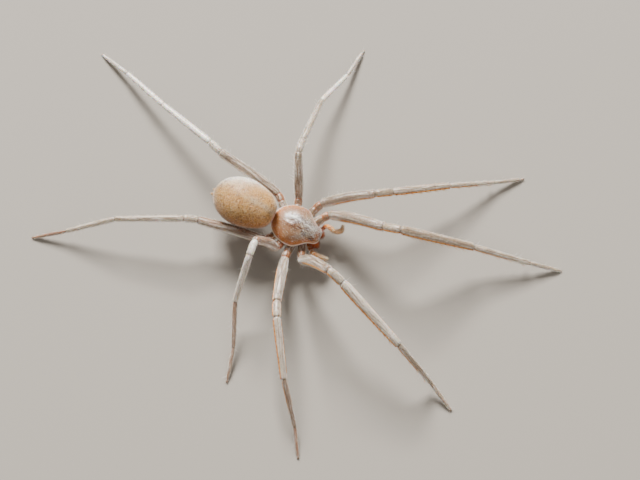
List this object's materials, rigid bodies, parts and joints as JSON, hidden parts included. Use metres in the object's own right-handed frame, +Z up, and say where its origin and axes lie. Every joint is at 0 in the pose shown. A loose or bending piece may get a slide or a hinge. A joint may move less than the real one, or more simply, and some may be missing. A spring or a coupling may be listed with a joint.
{
  "type": "cave spider",
  "caption": "Life-size still model of a pale, long-legged cave spider (Otacilia tham), standing with its legs spread wide.",
  "frame": {"origin": "the middle of the model's box, on the floor under the feet", "axes": "+X along the model's longest reach, towards its front feet; +Y towards its left side; +Z up. The head points to +X, turned 26 degrees towards -Y."},
  "size_m": [0.0212, 0.0172, 0.0034],
  "materials": {
    "carapace": "smooth translucent cuticle, tan to orange",
    "sternum": "smooth translucent cuticle",
    "abdomen": "soft skin with a fine short pile",
    "pedicel": "soft cuticle",
    "spinnerets": "soft cuticle",
    "chelicera": "glossy hard cuticle",
    "palp": "translucent cuticle",
    "leg_coxa": "translucent cuticle",
    "leg_femur": "translucent cuticle with fine hairs",
    "leg_patella": "translucent cuticle with fine hairs",
    "leg_tibia": "translucent cuticle with fine hairs and spines",
    "leg_metatarsus": "translucent cuticle with fine hairs and spines",
    "leg_tarsus": "translucent cuticle with fine hairs"
  },
  "bodies": {
    "root": {"abdomen": "abdomen", "carapace": "carapace", "chelicera_left": "chelicera", "chelicera_right": "chelicera", "leg_left_1_coxa": "leg_coxa", "leg_left_1_femur": "leg_femur", "leg_left_1_metatarsus": "leg_metatarsus", "leg_left_1_patella": "leg_patella", "leg_left_1_tarsus": "leg_tarsus", "leg_left_1_tibia": "leg_tibia", "leg_left_2_coxa": "leg_coxa", "leg_left_2_femur": "leg_femur", "leg_left_2_metatarsus": "leg_metatarsus", "leg_left_2_patella": "leg_patella", "leg_left_2_tarsus": "leg_tarsus", "leg_left_2_tibia": "leg_tibia", "leg_left_3_coxa": "leg_coxa", "leg_left_3_femur": "leg_femur", "leg_left_3_metatarsus": "leg_metatarsus", "leg_left_3_patella": "leg_patella", "leg_left_3_tarsus": "leg_tarsus", "leg_left_3_tibia": "leg_tibia", "leg_left_4_coxa": "leg_coxa", "leg_left_4_femur": "leg_femur", "leg_left_4_metatarsus": "leg_metatarsus", "leg_left_4_patella": "leg_patella", "leg_left_4_tarsus": "leg_tarsus", "leg_left_4_tibia": "leg_tibia", "leg_right_1_coxa": "leg_coxa", "leg_right_1_femur": "leg_femur", "leg_right_1_metatarsus": "leg_metatarsus", "leg_right_1_patella": "leg_patella", "leg_right_1_tarsus": "leg_tarsus", "leg_right_1_tibia": "leg_tibia", "leg_right_2_coxa": "leg_coxa", "leg_right_2_femur": "leg_femur", "leg_right_2_metatarsus": "leg_metatarsus", "leg_right_2_patella": "leg_patella", "leg_right_2_tarsus": "leg_tarsus", "leg_right_2_tibia": "leg_tibia", "leg_right_3_coxa": "leg_coxa", "leg_right_3_femur": "leg_femur", "leg_right_3_metatarsus": "leg_metatarsus", "leg_right_3_patella": "leg_patella", "leg_right_3_tarsus": "leg_tarsus", "leg_right_3_tibia": "leg_tibia", "leg_right_4_coxa": "leg_coxa", "leg_right_4_femur": "leg_femur", "leg_right_4_metatarsus": "leg_metatarsus", "leg_right_4_patella": "leg_patella", "leg_right_4_tarsus": "leg_tarsus", "leg_right_4_tibia": "leg_tibia", "palp_left": "palp", "palp_right": "palp", "pedicel": "pedicel", "spinnerets": "spinnerets", "sternum": "sternum"}
  },
  "joints": []
}
